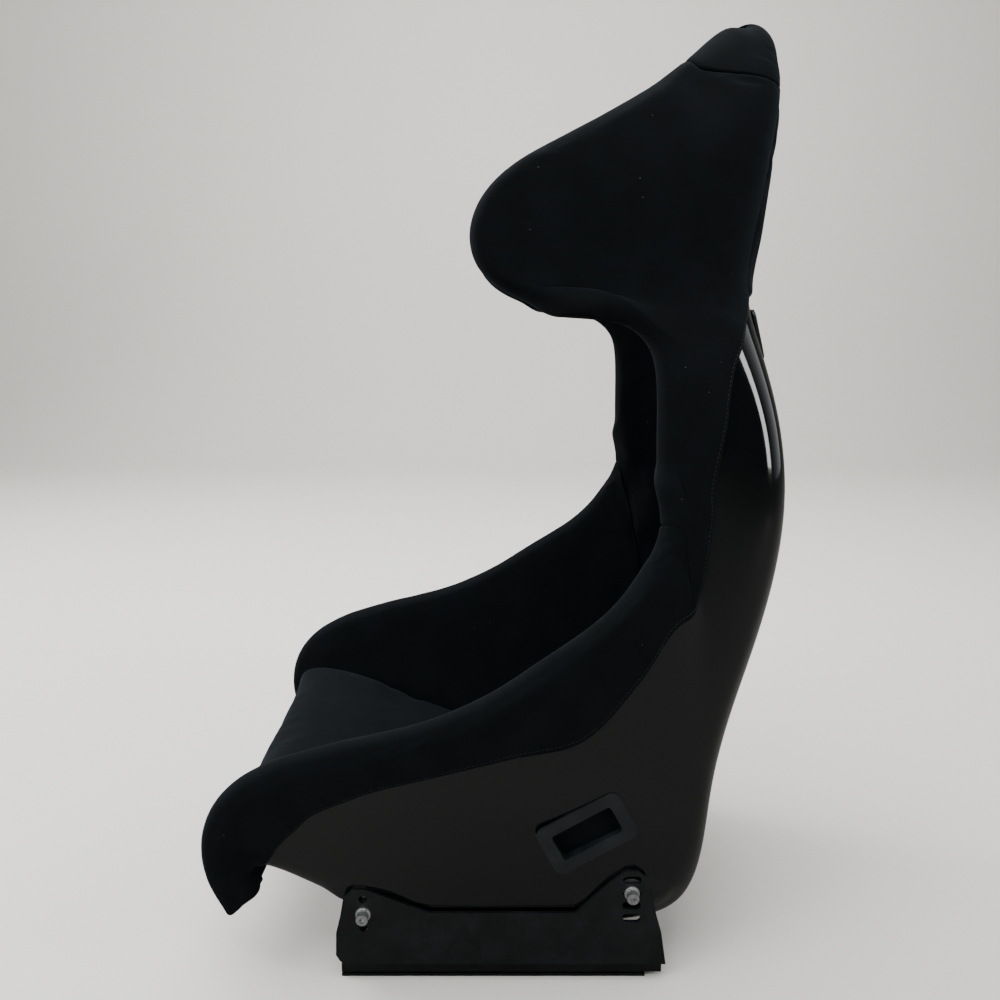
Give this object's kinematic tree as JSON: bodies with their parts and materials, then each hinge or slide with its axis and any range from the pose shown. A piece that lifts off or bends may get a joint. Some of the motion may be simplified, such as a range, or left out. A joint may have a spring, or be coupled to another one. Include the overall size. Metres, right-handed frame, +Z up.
{
  "type": "racing seat",
  "caption": "Fixed-back racing bucket seat with head wings, sewn bolsters, belt slots, side brackets and sliding floor rails with a release bar.",
  "frame": {"origin": "centre of the four floor bolts at floor level, under the lower rails", "axes": "+X to the seat's left, -Y to the front of the seat, +Z up; the floor is Z = 0"},
  "size_m": [0.518, 0.6203, 0.9984],
  "materials": {
    "gelcoat": "gloss",
    "velour": "matt pile",
    "black_steel": "satin",
    "zinc_steel": "bright zinc",
    "insert_alloy": "turned",
    "black_screw": "satin",
    "grip_rubber": "matt"
  },
  "bodies": {
    "floor_rails": {"lower_rail_left": "black_steel", "lower_rail_right": "black_steel"},
    "seat": {"shell": "gelcoat", "seat_cushion": "velour", "lumbar_pad": "velour", "back_pad": "velour", "head_pad": "velour", "head_back_cover": "velour", "thigh_bolster_left": "velour", "thigh_bolster_right": "velour", "torso_bolster_left": "velour", "torso_bolster_right": "velour", "wing_pad_left": "velour", "wing_pad_right": "velour", "head_top_roll": "velour", "lap_bezel_left": "gelcoat", "lap_bezel_right": "gelcoat", "shoulder_bezel_left": "gelcoat", "shoulder_bezel_right": "gelcoat", "crotch_bezel": "gelcoat", "side_bracket_left": "black_steel", "side_bracket_right": "black_steel", "side_bolts": "zinc_steel", "flat_washers": "zinc_steel", "spring_washers": "zinc_steel", "thread_inserts": "insert_alloy", "flange_screws": "black_screw", "upper_rail_left": "black_steel", "upper_rail_right": "black_steel", "pivot_pins": "zinc_steel"},
    "ball_cages": {"ball_cage_left": "zinc_steel", "ball_cage_right": "zinc_steel"},
    "release": {"latch_arm_left": "zinc_steel", "latch_arm_right": "zinc_steel", "release_bar": "black_steel", "bar_grip": "grip_rubber"}
  },
  "joints": [
    {"name": "seat_slide", "type": "slide", "parent": "floor_rails", "child": "seat", "axis": [0, 1, 0], "range_m": [-0.08, 0.08]},
    {"name": "cage_slide", "type": "slide", "parent": "floor_rails", "child": "ball_cages", "axis": [0, 1, 0], "range_m": [-0.04, 0.04]},
    {"name": "release_lift", "type": "hinge", "parent": "seat", "child": "release", "pos_m": [0, -0.04, 0.014], "axis": [-1, 0, 0], "range_deg": [0, 8], "stiffness_Nm_per_rad": 20, "springref_deg": -8.59}
  ],
  "couplings": [
    {"joint": "cage_slide", "follows": "seat_slide", "ratio": 0.5}
  ]
}
